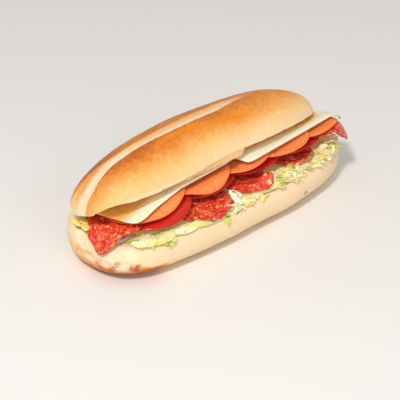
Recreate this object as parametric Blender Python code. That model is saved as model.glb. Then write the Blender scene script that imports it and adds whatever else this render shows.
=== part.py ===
"""A submarine sandwich: a hinge-cut roll filled with lettuce, salami, tomato, sausage slices and cheese.

Metres, +Z up.  X runs along the roll, the open side faces -Y and the hinge is at the back.  The origin
is on the table, under the middle of the roll.
"""

from math import atan2, cos, exp, hypot, log, pi, radians, sin, tan

import bmesh
import bpy
from mathutils import Vector, noise

MM = 0.001

# Lower half of the roll
ROLL_HALF_LENGTH = 98.0 * MM
ROLL_HALF_WIDTH = 42.0 * MM
ROLL_WIDEST_HEIGHT = 13.5 * MM
ROLL_UNDERSIDE_DEPTH = 16.0 * MM
ROLL_TOP_RISE = 17.0 * MM
HINGE_RISE = 9.0 * MM
ROLL_SECTION_POWER = 2.5
ROLL_BLUNTNESS = 2.8
LEFT_FRONT_BLUNTNESS = 4.0
LEFT_BACK_BLUNTNESS = 2.7
LEFT_UNDERSIDE_BLUNTNESS = 4.6
CUT_HEIGHT = 22.3 * MM
LIP_HALF_WIDTH = 40.4 * MM

# Crown, hinged along the back and propped open by the filling
CROWN_CENTRE_X = -7.3 * MM
CROWN_HALF_LENGTH = 89.7 * MM
CROWN_HALF_DEPTH = 33.0 * MM
CROWN_RISE = 26.8 * MM
CROWN_UNDER_RISE = 13.0 * MM
CROWN_SECTION_POWER = 2.3
CROWN_RIGHT_BLUNTNESS = 2.8
CROWN_LEFT_FRONT_BLUNTNESS = 3.4
CROWN_LEFT_BACK_BLUNTNESS = 2.4
CROWN_RIGHT_RISE_BLUNTNESS = 2.6
CROWN_LEFT_RISE_BLUNTNESS = 1.9
HINGE_Y = 33.0 * MM
HINGE_Z = 23.0 * MM
CROWN_TILT = radians(25.0)
LEFT_TILT_LOSS = 0.20
LEFT_BEND_LENGTH = 18.0 * MM
LIP_DROP = radians(3.0)
LIP_STEP_X = -2.0 * MM
LIP_STEP_LENGTH = 8.0 * MM

# Slash that opened along the crown in the oven, measured from the hinge
SLASH_EDGE = 50.5 * MM
SLASH_WIDTH = 6.5 * MM
SLASH_LEFT_EXTRA_WIDTH = 8.0 * MM
SLASH_DEPTH = 2.2 * MM
SLASH_END_X = 46.0 * MM

# Mouth between the halves
MOUTH_LEFT_X = -95.5 * MM
MOUTH_RIGHT_X = 112.0 * MM
MOUTH_FRONT_Y = -64.0 * MM
MOUTH_BACK_Y = 24.0 * MM
MOUTH_LEFT_BACK_Y = 9.0 * MM
MOUTH_TURN_LENGTH = 35.0 * MM
ROOF_LIFT = 7.5 * MM
CRUMB_DIP = 1.4 * MM

# Filling: levels are heights above the lower crumb in the loose stack, before it is squeezed
GAP = 0.5 * MM
ROOF_GAP = 1.4 * MM
LETTUCE_THICKNESS = 3.7 * MM
LETTUCE_BUMP = 0.5 * MM
SALAMI_THICKNESS = 1.3 * MM
SALAMI_RIPPLE = 0.9 * MM
TOMATO_THICKNESS = 3.0 * MM
TOMATO_RADIUS = 25.0 * MM
TOMATO_SLOPE = 0.098
SAUSAGE_THICKNESS = 1.4 * MM
SAUSAGE_RADIUS = 25.5 * MM
SAUSAGE_SLOPE = 0.063
CHEESE_THICKNESS = 1.9 * MM
CHEESE_HALF_WIDTH = 23.5 * MM

# How the stack settles
LEFT_SINK = 0.42
LEFT_SINK_START = -45.0 * MM
LEFT_SINK_LENGTH = 40.0 * MM
FRONT_SAG = 0.50
FRONT_SAG_START = -26.0 * MM
FRONT_SAG_LENGTH = 14.0 * MM
FRONT_SAG_END_X = 20.0 * MM
RIGHT_SAG = 7.0 * MM
RIGHT_SAG_START = 81.0 * MM
RIGHT_SAG_LENGTH = 19.0 * MM
DRAPE_SLOPE = 1.6
BACK_CROWDING = 2.5 * MM

# Where each layer's middle lies
SALAMI_LEVEL = LETTUCE_THICKNESS + LETTUCE_BUMP + GAP + 0.5 * SALAMI_THICKNESS
TOMATO_LEVEL = (SALAMI_LEVEL + GAP + TOMATO_SLOPE * TOMATO_RADIUS
                + 0.5 * (SALAMI_THICKNESS + TOMATO_THICKNESS))
SAUSAGE_LEVEL = (TOMATO_LEVEL + GAP + TOMATO_SLOPE * TOMATO_RADIUS + SAUSAGE_SLOPE * SAUSAGE_RADIUS
                 + 0.5 * (TOMATO_THICKNESS + SAUSAGE_THICKNESS))
CHEESE_LEVEL = (SAUSAGE_LEVEL + 1.8 * GAP + SAUSAGE_SLOPE * SAUSAGE_RADIUS
                + 0.5 * (SAUSAGE_THICKNESS + CHEESE_THICKNESS))
STACK_TOP = CHEESE_LEVEL + 0.5 * CHEESE_THICKNESS
LEFT_SALAMI_LEVEL = TOMATO_LEVEL + 1.1 * MM
LEFT_SALAMI_SLOPE = 0.09
RIGHT_SALAMI_LEVEL = SAUSAGE_LEVEL - 0.5 * (SAUSAGE_THICKNESS + SALAMI_THICKNESS) - 1.2 * GAP

# Mesh fineness
ROLL_COLUMNS = 38
ROLL_RINGS = 26
SLICE_COLUMNS = 24
SLICE_RINGS = 8


def clamp01(value):
    return max(0.0, min(1.0, value))


def smooth(value):
    value = clamp01(value)
    return value * value * (3.0 - 2.0 * value)


def signed_power(value, exponent):
    """Turns a circle's sine or cosine into a superellipse's."""
    return abs(value) ** exponent * (1.0 if value >= 0.0 else -1.0)


def taper(x, half_length, bluntness):
    """Share of the full size left at x, falling to nothing at the two tips."""
    return max(0.0, 1.0 - abs(x / half_length) ** bluntness) ** (1.0 / bluntness)


# ---------------------------------------------------------------- the roll

def plan_bluntness(x, y):
    """The lower half is bluntest at its left front corner."""
    if x > 0.0:
        return ROLL_BLUNTNESS
    return LEFT_FRONT_BLUNTNESS if y < 0.0 else LEFT_BACK_BLUNTNESS


def lower_half_point(along, around):
    """The lower half, which stands higher at the back, where it runs up into the crown."""
    x = ROLL_HALF_LENGTH * along
    across = signed_power(cos(around), 2.0 / ROLL_SECTION_POWER)
    up = signed_power(sin(around), 2.0 / ROLL_SECTION_POWER)
    width = ROLL_HALF_WIDTH * taper(x, ROLL_HALF_LENGTH, plan_bluntness(x, across))
    if up >= 0.0:
        rise = ROLL_TOP_RISE + HINGE_RISE * smooth(1.6 * across)
        rise *= taper(x, ROLL_HALF_LENGTH, ROLL_BLUNTNESS)
    else:
        bluntness = ROLL_BLUNTNESS if x > 0.0 else LEFT_UNDERSIDE_BLUNTNESS
        rise = ROLL_UNDERSIDE_DEPTH * taper(x, ROLL_HALF_LENGTH, bluntness)
    return Vector((x, width * across, max(0.0, ROLL_WIDEST_HEIGHT + rise * up)))


def crown_tilt(x):
    """The crown stands open along its length and bends down to the joined left tip."""
    left_tip = CROWN_CENTRE_X - CROWN_HALF_LENGTH
    closed = 1.0 - clamp01((x - left_tip) / LEFT_BEND_LENGTH)
    return CROWN_TILT * (1.0 - LEFT_TILT_LOSS * closed ** 3)


def slash_depth(x, forward):
    """Depth of the slash: a step down behind its front edge, then a band that rises to the back lip."""
    edge = SLASH_EDGE - 6.5 * MM * smooth((x + 5.0 * MM) / (50.0 * MM))
    edge -= 7.0 * MM * smooth((-22.0 * MM - x) / (58.0 * MM))
    edge -= 3.5 * MM * smooth((-88.0 * MM - x) / (10.0 * MM))
    open_share = 1.0 - smooth((x - 0.1 * SLASH_END_X) / (0.9 * SLASH_END_X))
    width = SLASH_WIDTH * open_share + SLASH_LEFT_EXTRA_WIDTH * smooth((-60.0 * MM - x) / (34.0 * MM))
    behind = edge - forward
    step = smooth(behind / (1.5 * MM))
    band = 1.0 - smooth(behind / max(width, 1.0 * MM) - 0.35)
    return SLASH_DEPTH * open_share * step * band


def crown_point(along, around):
    x = CROWN_CENTRE_X + CROWN_HALF_LENGTH * along
    from_middle = x - CROWN_CENTRE_X
    plan_power = CROWN_RIGHT_BLUNTNESS
    rise_power = CROWN_RIGHT_RISE_BLUNTNESS
    if along < 0.0:
        plan_power = CROWN_LEFT_FRONT_BLUNTNESS if cos(around) > 0.0 else CROWN_LEFT_BACK_BLUNTNESS
        rise_power = CROWN_LEFT_RISE_BLUNTNESS
    depth = CROWN_HALF_DEPTH * taper(from_middle, CROWN_HALF_LENGTH, plan_power)
    forward = CROWN_HALF_DEPTH + depth * signed_power(cos(around), 2.0 / CROWN_SECTION_POWER)
    up = signed_power(sin(around), 2.0 / CROWN_SECTION_POWER)
    rise = (CROWN_RISE if up >= 0.0 else CROWN_UNDER_RISE) * up
    rise *= taper(from_middle, CROWN_HALF_LENGTH, rise_power)
    if up > 0.0:
        rise -= min(slash_depth(x, forward), 0.5 * rise)
    tilt = crown_tilt(x)
    return Vector((x,
                   HINGE_Y - forward * cos(tilt) + rise * sin(tilt),
                   HINGE_Z + forward * sin(tilt) + rise * cos(tilt)))


def past_lip(x, y):
    """Distance outside the lip of the lower half, negative inside it."""
    power = plan_bluntness(x, y)
    span = (abs(x / ROLL_HALF_LENGTH) ** power + abs(y / LIP_HALF_WIDTH) ** power) ** (1.0 / power)
    if span < 0.05:
        return -LIP_HALF_WIDTH
    return hypot(x, y) * (1.0 - 1.0 / span)


def floor_height(x, y):
    """Top of the lower crumb, dished inside its lip."""
    return CUT_HEIGHT - CRUMB_DIP * smooth(-past_lip(x, y) / (14.0 * MM))


def roof_height(x, y):
    """Underside of the crown: its cut face, lifted where the filling has pushed the crumb in."""
    thick_lip = 1.0 - smooth((x - LIP_STEP_X) / LIP_STEP_LENGTH)
    thick_lip *= smooth((x - MOUTH_LEFT_X) / (20.0 * MM))
    slope = tan(crown_tilt(x) - LIP_DROP * thick_lip)
    lift = ROOF_LIFT * smooth((y + 6.0 * MM) / (26.0 * MM)) * slope / tan(CROWN_TILT)
    return HINGE_Z + (HINGE_Y - y) * slope + lift


def mouth_back(x):
    """The cut stops short of the back, and turns forward towards the left tip."""
    turned = 1.0 - smooth((x - MOUTH_LEFT_X) / MOUTH_TURN_LENGTH)
    return MOUTH_BACK_Y + (MOUTH_LEFT_BACK_Y - MOUTH_BACK_Y) * turned


def mouth_shape():
    """The gap between the halves, a slab whose faces are the lower crumb and the crown's underside."""
    shape = bmesh.new()
    bmesh.ops.create_grid(shape, x_segments=34, y_segments=9, size=1.0)
    lid = bmesh.ops.extrude_face_region(shape, geom=shape.faces[:])
    lid_verts = {item for item in lid["geom"] if isinstance(item, bmesh.types.BMVert)}
    for vert in shape.verts:
        x = MOUTH_LEFT_X + (MOUTH_RIGHT_X - MOUTH_LEFT_X) * 0.5 * (vert.co.x + 1.0)
        y = MOUTH_FRONT_Y + (mouth_back(x) - MOUTH_FRONT_Y) * 0.5 * (vert.co.y + 1.0)
        z = roof_height(x, y) if vert in lid_verts else floor_height(x, y)
        vert.co = Vector((x, y, z))
    return shape


def shaped_ball(columns, rings, place):
    """A ball with a tip at each end of X, each of its points moved to place(along, around)."""
    shape = bmesh.new()
    bmesh.ops.create_uvsphere(shape, u_segments=columns, v_segments=rings, radius=1.0)
    for vert in shape.verts:
        along = max(-1.0, min(1.0, vert.co.z))
        vert.co = place(along, atan2(vert.co.y, vert.co.x))
    return shape


def make_roll(parts, forms, finish):
    """Both halves in one piece, joined along the back, with the mouth cut between them."""
    roll = make_object("roll", shaped_ball(ROLL_COLUMNS, ROLL_RINGS, lower_half_point), parts, finish)
    crown = make_object("crown_form", shaped_ball(ROLL_COLUMNS, ROLL_RINGS, crown_point), forms)
    mouth = make_object("mouth_form", mouth_shape(), forms)
    for form, operation in ((crown, "UNION"), (mouth, "DIFFERENCE")):
        form.hide_render = True
        form.display_type = "WIRE"
        step = roll.modifiers.new(form.name, "BOOLEAN")
        step.object = form
        step.operation = operation
        step.solver = "EXACT"


# ---------------------------------------------------------------- the filling

def stack_squeeze(x, y):
    """Share of the loose stack's height left at a place: less under the crown and at the front."""
    room = max(0.05, (roof_height(x, y) - ROOF_GAP - floor_height(x, y)) / STACK_TOP)
    loose = 1.0 - LEFT_SINK * smooth((LEFT_SINK_START - x) / LEFT_SINK_LENGTH)
    squeezed = (room ** -12.0 + loose ** -12.0) ** (-1.0 / 12.0)
    sag = FRONT_SAG * smooth(0.5 - x / (2.0 * FRONT_SAG_END_X))
    return squeezed * (1.0 - sag * smooth((FRONT_SAG_START - y) / FRONT_SAG_LENGTH))


def settle(x, y, level):
    """A point of the stack, kept off the mouth's back, laid on the crumb and draped over its lip."""
    back = mouth_back(x) - GAP
    y = back - BACK_CROWDING * log(1.0 + exp((back - y) / BACK_CROWDING))
    drop = DRAPE_SLOPE * max(0.0, past_lip(x, y) - GAP)
    above_bed = smooth((level - SALAMI_LEVEL) / (3.0 * MM))
    drop += RIGHT_SAG * above_bed * smooth((x - RIGHT_SAG_START) / RIGHT_SAG_LENGTH)
    return Vector((x, y, floor_height(x, y) + GAP + level * stack_squeeze(x, y) - drop))


def laid_slice(columns, rings, outline, level, thickness, slope=0.0, bump=None):
    """A thin slice lying in the stack.

    outline(share, around) gives a point of its plan, from the middle at share 0 to the rim at 1, and
    how far along X that point is from the middle.  The slice climbs by slope along X.
    """
    shape = bmesh.new()
    bmesh.ops.create_uvsphere(shape, u_segments=columns, v_segments=rings, radius=1.0)
    for vert in shape.verts:
        share = min(1.0, hypot(vert.co.x, vert.co.y))
        x, y, offset = outline(share, atan2(vert.co.y, vert.co.x))
        half = 0.5 * thickness * (1.0 - share ** 16) ** 0.5
        if abs(vert.co.z) < 1.0e-6:
            half = 0.0
        height = level + slope * offset + (half if vert.co.z > 0.0 else -half)
        if bump is not None:
            height += bump(x, y, vert.co.z)
        vert.co = settle(x, y, height)
    return shape


def round_outline(centre_x, centre_y, radius_x, radius_y, corner=None, stretch=0.15):
    """An oval, which may be drawn out to a corner at the angle given."""
    def outline(share, around):
        reach = share
        if corner is not None:
            off = (around - corner + pi) % (2.0 * pi) - pi
            reach *= 1.0 + stretch * exp(-(off / 0.45) ** 2)
        offset = radius_x * reach * cos(around)
        return centre_x + offset, centre_y + radius_y * reach * sin(around), offset
    return outline


def square_outline(centre_x, centre_y, half_x, half_y, turn, skew):
    """A rectangle with slightly rounded corners, turned, and leaning by skew."""
    def outline(share, around):
        along = half_x * share * signed_power(cos(around), 0.14)
        across = half_y * share * signed_power(sin(around), 0.14)
        along += skew * across
        x = centre_x + along * cos(turn) - across * sin(turn)
        return x, centre_y + along * sin(turn) + across * cos(turn), x - centre_x
    return outline


def bed_outline(share, around):
    """The lettuce bed: it follows the lip of the lower half in front and the mouth's back behind."""
    along = signed_power(cos(around), 2.0 / ROLL_BLUNTNESS)
    x = 2.0 * MM + 85.0 * MM * share * along
    depth = 19.0 * MM if sin(around) > 0.0 else 40.8 * MM
    ragged = 1.2 * MM * noise.noise(Vector((9.0 * around, 0.0, 3.0))) * share
    across = share * signed_power(sin(around), 2.0 / ROLL_BLUNTNESS)
    return x, depth * across + ragged, x


def bed_bump(x, y, side):
    """Uneven top of the bed, where shreds cross."""
    if side <= 0.0:
        return 0.0
    return LETTUCE_BUMP * noise.noise(Vector((x, y, 0.0)) / (9.0 * MM))


def curl_up(lift_x, lift_width, amount):
    """The free front edge of a salami slice curls up about lift_x, and in small waves."""
    def bump(x, y, side):
        free = smooth((-28.5 * MM - y) / (6.0 * MM))
        rise = amount * exp(-((x - lift_x) / lift_width) ** 2)
        return free * (rise + SALAMI_RIPPLE * (0.5 + 0.5 * sin(x / (2.6 * MM))))
    return bump


def left_droop(x, y, side):
    """The first salami slice hangs down over the left front corner of the roll."""
    return -13.0 * MM * smooth((-87.0 * MM - x) / (12.0 * MM))


def right_lift(x, y, side):
    """The last salami slice springs up a little where it stands out past the sausage slice above it."""
    past_sausage = hypot(x - 72.0 * MM, y + 5.0 * MM) - 24.5 * MM
    return 3.0 * MM * smooth((past_sausage - 0.5 * MM) / (6.0 * MM))


def make_filling(parts):
    green = material("lettuce_leaf", (0.62, 0.68, 0.30), 0.5)
    meat = material("salami_meat", (0.50, 0.07, 0.05), 0.45)
    flesh = material("tomato_flesh", (0.60, 0.04, 0.02), 0.3)
    orange = material("sausage_meat", (0.85, 0.26, 0.09), 0.45)
    cheese = material("white_cheese", (0.88, 0.83, 0.62), 0.45)

    bed = laid_slice(48, SLICE_RINGS, bed_outline, 0.5 * LETTUCE_THICKNESS, LETTUCE_THICKNESS, bump=bed_bump)
    make_object("lettuce", bed, parts, green)

    # Three slices of salami lie on the lettuce
    on_bed = ((round_outline(-31.5 * MM, -16.0 * MM, 21.0 * MM, 25.5 * MM, radians(-42.0)),
               curl_up(-17.0 * MM, 9.0 * MM, 3.0 * MM)),
              (round_outline(7.0 * MM, -15.0 * MM, 15.5 * MM, 24.5 * MM, radians(-60.0), 0.10),
               curl_up(13.0 * MM, 10.0 * MM, 3.0 * MM)),
              (round_outline(50.0 * MM, -12.0 * MM, 17.0 * MM, 22.0 * MM),
               curl_up(58.0 * MM, 9.0 * MM, 6.0 * MM)))
    for number, (outline, bump) in enumerate(on_bed, start=2):
        salami = laid_slice(SLICE_COLUMNS, SLICE_RINGS, outline, SALAMI_LEVEL, SALAMI_THICKNESS, bump=bump)
        make_object(f"salami_{number}", salami, parts, meat)

    # Tomato slices overlap, each lying on the one to its right
    for number, (x, y, radius) in enumerate(((-55.5, -7.0, 27.0), (-17.0, -3.5, 25.0),
                                             (22.0, -3.0, 25.0), (58.0, -2.5, 25.0)), start=1):
        outline = round_outline(x * MM, y * MM, min(radius * MM, TOMATO_RADIUS), radius * MM)
        tomato = laid_slice(SLICE_COLUMNS, SLICE_RINGS, outline, TOMATO_LEVEL, TOMATO_THICKNESS, TOMATO_SLOPE)
        make_object(f"tomato_{number}", tomato, parts, flesh)

    # The first salami lies on the left-hand tomato, the last on the right-hand one, past the roll's end
    left_outline = round_outline(-78.0 * MM, -8.0 * MM, 18.0 * MM, 17.0 * MM, radians(-147.0), 0.32)
    right_outline = round_outline(78.5 * MM, -7.0 * MM, 19.0 * MM, 27.0 * MM, radians(-48.0), 0.06)
    for number, outline, level, slope, bump in (
            (1, left_outline, LEFT_SALAMI_LEVEL, LEFT_SALAMI_SLOPE, left_droop),
            (5, right_outline, RIGHT_SALAMI_LEVEL, SAUSAGE_SLOPE, right_lift)):
        salami = laid_slice(SLICE_COLUMNS, SLICE_RINGS, outline, level, SALAMI_THICKNESS, slope, bump)
        make_object(f"salami_{number}", salami, parts, meat)

    # Sausage slices are fanned the same way
    for number, (x, y, radius) in enumerate(((-58.5, -5.5, 25.5), (-24.5, -6.5, 25.5), (9.5, -5.5, 25.5),
                                             (40.8, -8.0, 25.5), (72.0, -5.0, 24.5)), start=1):
        outline = round_outline(x * MM, y * MM, radius * MM, radius * MM)
        sausage = laid_slice(SLICE_COLUMNS, SLICE_RINGS, outline, SAUSAGE_LEVEL, SAUSAGE_THICKNESS,
                             SAUSAGE_SLOPE)
        make_object(f"sausage_{number}", sausage, parts, orange)

    # Two half slices of cheese lie end to end under the crown
    for number, (x, y, length, turn, skew) in enumerate(((-48.0, -1.0, 40.5, 0.10, -0.26),
                                                         (48.6, -2.0, 47.6, 0.10, 0.05)), start=1):
        outline = square_outline(x * MM, y * MM, length * MM, CHEESE_HALF_WIDTH, turn, skew)
        make_object(f"cheese_{number}", laid_slice(32, SLICE_RINGS, outline, CHEESE_LEVEL, CHEESE_THICKNESS),
                    parts, cheese)


# ---------------------------------------------------------------- making objects

def material(name, colour, roughness):
    made = bpy.data.materials.new(name)
    made.use_nodes = True
    shader = made.node_tree.nodes["Principled BSDF"]
    shader.inputs["Base Color"].default_value = (*colour, 1.0)
    shader.inputs["Roughness"].default_value = roughness
    shader.inputs["Metallic"].default_value = 0.0
    return made


def make_object(name, shape, collection, finish=None):
    """An object from a mesh in edit form, with its faces turned out and shaded smooth."""
    bmesh.ops.recalc_face_normals(shape, faces=shape.faces)
    mesh = bpy.data.meshes.new(name)
    shape.to_mesh(mesh)
    shape.free()
    mesh.shade_smooth()
    mesh.set_sharp_from_angle(angle=radians(40.0))
    made = bpy.data.objects.new(name, mesh)
    collection.objects.link(made)
    if finish is not None:
        mesh.materials.append(finish)
    return made


def main():
    for old in list(bpy.data.objects):
        bpy.data.objects.remove(old)
    parts = bpy.data.collections.new("submarine_sandwich")
    forms = bpy.data.collections.new("cutting_forms")
    bpy.context.scene.collection.children.link(parts)
    bpy.context.scene.collection.children.link(forms)
    make_roll(parts, forms, material("roll_crust", (0.80, 0.48, 0.20), 0.6))
    make_filling(parts)


main()
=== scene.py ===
"""A submarine sandwich: a hinge-cut roll filled with lettuce, salami, tomato, sausage slices and cheese."""

import random
from math import atan2, cos, exp, hypot, log, pi, radians, sin, tan

import bmesh
import bpy
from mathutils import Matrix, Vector, noise


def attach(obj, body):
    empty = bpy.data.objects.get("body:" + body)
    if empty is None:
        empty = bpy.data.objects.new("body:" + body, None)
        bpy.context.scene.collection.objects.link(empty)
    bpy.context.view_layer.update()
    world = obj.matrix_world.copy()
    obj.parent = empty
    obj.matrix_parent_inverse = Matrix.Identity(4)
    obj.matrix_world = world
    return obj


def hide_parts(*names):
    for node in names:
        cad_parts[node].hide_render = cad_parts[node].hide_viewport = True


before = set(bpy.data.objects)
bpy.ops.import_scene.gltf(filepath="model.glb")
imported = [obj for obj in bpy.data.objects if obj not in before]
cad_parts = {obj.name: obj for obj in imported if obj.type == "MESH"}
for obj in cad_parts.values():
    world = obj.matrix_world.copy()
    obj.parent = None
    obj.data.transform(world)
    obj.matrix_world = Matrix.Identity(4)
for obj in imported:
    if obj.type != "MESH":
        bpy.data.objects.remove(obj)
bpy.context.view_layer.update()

# ------------------------ the roll
# One soft white roll, slashed along its crown before baking and later cut through from the front, so
# that the crown still hangs on the back and the left tip.  The crust browned most beside the slash;
# the sides stayed pale, and the flat underside took its colour from the tray.

MM = 0.001

ROLL_HALF_LENGTH = 98.0 * MM
ROLL_HALF_WIDTH = 42.0 * MM
ROLL_WIDEST_HEIGHT = 13.5 * MM
ROLL_UNDERSIDE_DEPTH = 16.0 * MM
ROLL_TOP_RISE = 17.0 * MM
HINGE_RISE = 9.0 * MM
ROLL_SECTION_POWER = 2.5
ROLL_BLUNTNESS = 2.8
LEFT_FRONT_BLUNTNESS = 4.0
LEFT_BACK_BLUNTNESS = 2.7
LEFT_UNDERSIDE_BLUNTNESS = 4.6
CUT_HEIGHT = 22.3 * MM
LIP_HALF_WIDTH = 40.4 * MM

CROWN_CENTRE_X = -7.3 * MM
CROWN_HALF_LENGTH = 89.7 * MM
CROWN_HALF_DEPTH = 33.0 * MM
CROWN_RISE = 26.8 * MM
CROWN_UNDER_RISE = 13.0 * MM
CROWN_SECTION_POWER = 2.3
CROWN_RIGHT_BLUNTNESS = 2.8
CROWN_LEFT_FRONT_BLUNTNESS = 3.4
CROWN_LEFT_BACK_BLUNTNESS = 2.4
CROWN_RIGHT_RISE_BLUNTNESS = 2.6
CROWN_LEFT_RISE_BLUNTNESS = 1.9
HINGE_Y = 33.0 * MM
HINGE_Z = 23.0 * MM
CROWN_TILT = radians(25.0)
LEFT_TILT_LOSS = 0.20
LEFT_BEND_LENGTH = 18.0 * MM
LIP_DROP = radians(3.0)
RIM_HEIGHT = 3.6 * MM
RIM_SETBACK = 1.1 * MM
RIM_START_X = -66.0 * MM
LIP_STEP_X = 0.5 * MM
LIP_STEP_LENGTH = 3.5 * MM

SLASH_EDGE = 50.5 * MM
SLASH_RIGHT_SETBACK = 6.5 * MM
SLASH_LEFT_SETBACK = 7.0 * MM
SLASH_TIP_SETBACK = 3.5 * MM
SLASH_LEAST_WIDTH = 1.0 * MM
SLASH_WIDTH = 6.5 * MM
SLASH_LEFT_EXTRA_WIDTH = 9.0 * MM
SLASH_STEP = 1.0 * MM
SLASH_LEFT_EXTRA_STEP = 1.6 * MM
SLASH_FRONT_RIDGE = 0.35 * MM
SLASH_BACK_RIDGE = 0.40 * MM
SLASH_END_X = 46.0 * MM

MOUTH_LEFT_X = -95.5 * MM
MOUTH_RIGHT_X = 112.0 * MM
MOUTH_FRONT_Y = -64.0 * MM
MOUTH_BACK_Y = 24.0 * MM
MOUTH_LEFT_BACK_Y = 9.0 * MM
MOUTH_TURN_LENGTH = 35.0 * MM
ROOF_LIFT = 7.5 * MM
CRUMB_DIP = 1.4 * MM

HINGE_SMOOTHING_ROUNDS = 30
CRUST_SHARP_ANGLE = radians(50.0)

FINE = 1.0


def clamp01(value):
    return max(0.0, min(1.0, value))


def smooth(value):
    value = clamp01(value)
    return value * value * (3.0 - 2.0 * value)


def ramp(value, start, length):
    """Climbs smoothly from 0 to 1 over a length past a start, both in millimetres."""
    return smooth((value - start * MM) / (length * MM))


def bell(value, middle, width):
    """A bump of height 1 about a middle, with its middle and width in millimetres."""
    return exp(-((value - middle * MM) / (width * MM)) ** 2)


def signed_power(value, exponent):
    """Turns a circle's sine or cosine into a superellipse's."""
    return abs(value) ** exponent * (1.0 if value >= 0.0 else -1.0)


def taper(x, half_length, bluntness):
    """Share of the full size left at x, falling to nothing at the two tips."""
    return max(0.0, 1.0 - abs(x / half_length) ** bluntness) ** (1.0 / bluntness)


def wave(x, y, z, size):
    """Smooth noise between about -1 and 1, with lumps of the size given in millimetres."""
    return noise.noise(Vector((x, y, z)) / (size * MM))


def plan_bluntness(x, y):
    if x > 0.0:
        return ROLL_BLUNTNESS
    return LEFT_FRONT_BLUNTNESS if y < 0.0 else LEFT_BACK_BLUNTNESS


def lower_half_point(along, around):
    x = ROLL_HALF_LENGTH * along
    across = signed_power(cos(around), 2.0 / ROLL_SECTION_POWER)
    up = signed_power(sin(around), 2.0 / ROLL_SECTION_POWER)
    width = ROLL_HALF_WIDTH * taper(x, ROLL_HALF_LENGTH, plan_bluntness(x, across))
    if up >= 0.0:
        rise = ROLL_TOP_RISE + HINGE_RISE * smooth(1.6 * across)
        rise *= taper(x, ROLL_HALF_LENGTH, ROLL_BLUNTNESS)
    else:
        bluntness = ROLL_BLUNTNESS if x > 0.0 else LEFT_UNDERSIDE_BLUNTNESS
        rise = ROLL_UNDERSIDE_DEPTH * taper(x, ROLL_HALF_LENGTH, bluntness)
    return Vector((x, width * across, max(0.0, ROLL_WIDEST_HEIGHT + rise * up)))


def crown_tilt(x):
    """The crown stands open along its length and bends down to the joined left tip."""
    left_tip = CROWN_CENTRE_X - CROWN_HALF_LENGTH
    closed = 1.0 - clamp01((x - left_tip) / LEFT_BEND_LENGTH)
    return CROWN_TILT * (1.0 - LEFT_TILT_LOSS * closed ** 3)


def slash_edge(x):
    """How far in front of the hinge the slash's front edge runs."""
    edge = SLASH_EDGE - SLASH_RIGHT_SETBACK * ramp(x, -5.0, 50.0)
    edge -= SLASH_LEFT_SETBACK * ramp(-x, 22.0, 58.0)
    edge -= SLASH_TIP_SETBACK * ramp(-x, 88.0, 10.0)
    return edge + 0.25 * MM * wave(x, 0.0, 0.0, 11.0) + 0.2 * MM * wave(x, 0.0, 1.0, 3.0)


def slash_open(x):
    """How far the slash stands open: 1 along the left, down to 0 where it runs out."""
    return 1.0 - smooth((x - 0.1 * SLASH_END_X) / (0.9 * SLASH_END_X))


def slash_width(x):
    width = SLASH_WIDTH * slash_open(x) + SLASH_LEFT_EXTRA_WIDTH * ramp(-x, 60.0, 34.0)
    return max(width, SLASH_LEAST_WIDTH)


def slash_depth(x, forward):
    """The slash: a raised front edge, a step down behind it, then a torn band that rises to a back lip."""
    behind = slash_edge(x) - forward
    width = slash_width(x)
    step = SLASH_STEP + SLASH_LEFT_EXTRA_STEP * ramp(-x, 45.0, 35.0)
    depth = step * ramp(behind, 0.0, 1.1) * (1.0 - smooth((behind - 1.0 * MM) / width))
    depth -= SLASH_FRONT_RIDGE * bell(behind, -1.6, 1.5)
    depth -= SLASH_BACK_RIDGE * bell(behind - width, 1.5, 2.2)
    return depth * slash_open(x)


def crown_point(along, around):
    x = CROWN_CENTRE_X + CROWN_HALF_LENGTH * along
    from_middle = x - CROWN_CENTRE_X
    plan_power = CROWN_RIGHT_BLUNTNESS
    rise_power = CROWN_RIGHT_RISE_BLUNTNESS
    if along < 0.0:
        plan_power = CROWN_LEFT_FRONT_BLUNTNESS if cos(around) > 0.0 else CROWN_LEFT_BACK_BLUNTNESS
        rise_power = CROWN_LEFT_RISE_BLUNTNESS
    depth = CROWN_HALF_DEPTH * taper(from_middle, CROWN_HALF_LENGTH, plan_power)
    forward = CROWN_HALF_DEPTH + depth * signed_power(cos(around), 2.0 / CROWN_SECTION_POWER)
    up = signed_power(sin(around), 2.0 / CROWN_SECTION_POWER)
    rise = (CROWN_RISE if up >= 0.0 else CROWN_UNDER_RISE) * up
    rise *= taper(from_middle, CROWN_HALF_LENGTH, rise_power)
    if up > 0.0:
        rise -= min(slash_depth(x, forward), 0.4 * rise)
    tilt = crown_tilt(x)
    return Vector((x,
                   HINGE_Y - forward * cos(tilt) + rise * sin(tilt),
                   HINGE_Z + forward * sin(tilt) + rise * cos(tilt)))


def crown_place(point):
    """A point's distance in front of the hinge and its rise above the cut, as the crown has them."""
    tilt = crown_tilt(point.x)
    back, up = HINGE_Y - point.y, point.z - HINGE_Z
    return back * cos(tilt) + up * sin(tilt), up * cos(tilt) - back * sin(tilt)


def past_lip(x, y):
    """Distance outside the lip of the lower half, negative inside it."""
    power = plan_bluntness(x, y)
    span = (abs(x / ROLL_HALF_LENGTH) ** power + abs(y / LIP_HALF_WIDTH) ** power) ** (1.0 / power)
    if span < 0.05:
        return -LIP_HALF_WIDTH
    return hypot(x, y) * (1.0 - 1.0 / span)


def floor_height(x, y):
    """Top of the lower crumb, dished inside its lip."""
    return CUT_HEIGHT - CRUMB_DIP * ramp(-past_lip(x, y), 0.0, 14.0)


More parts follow.
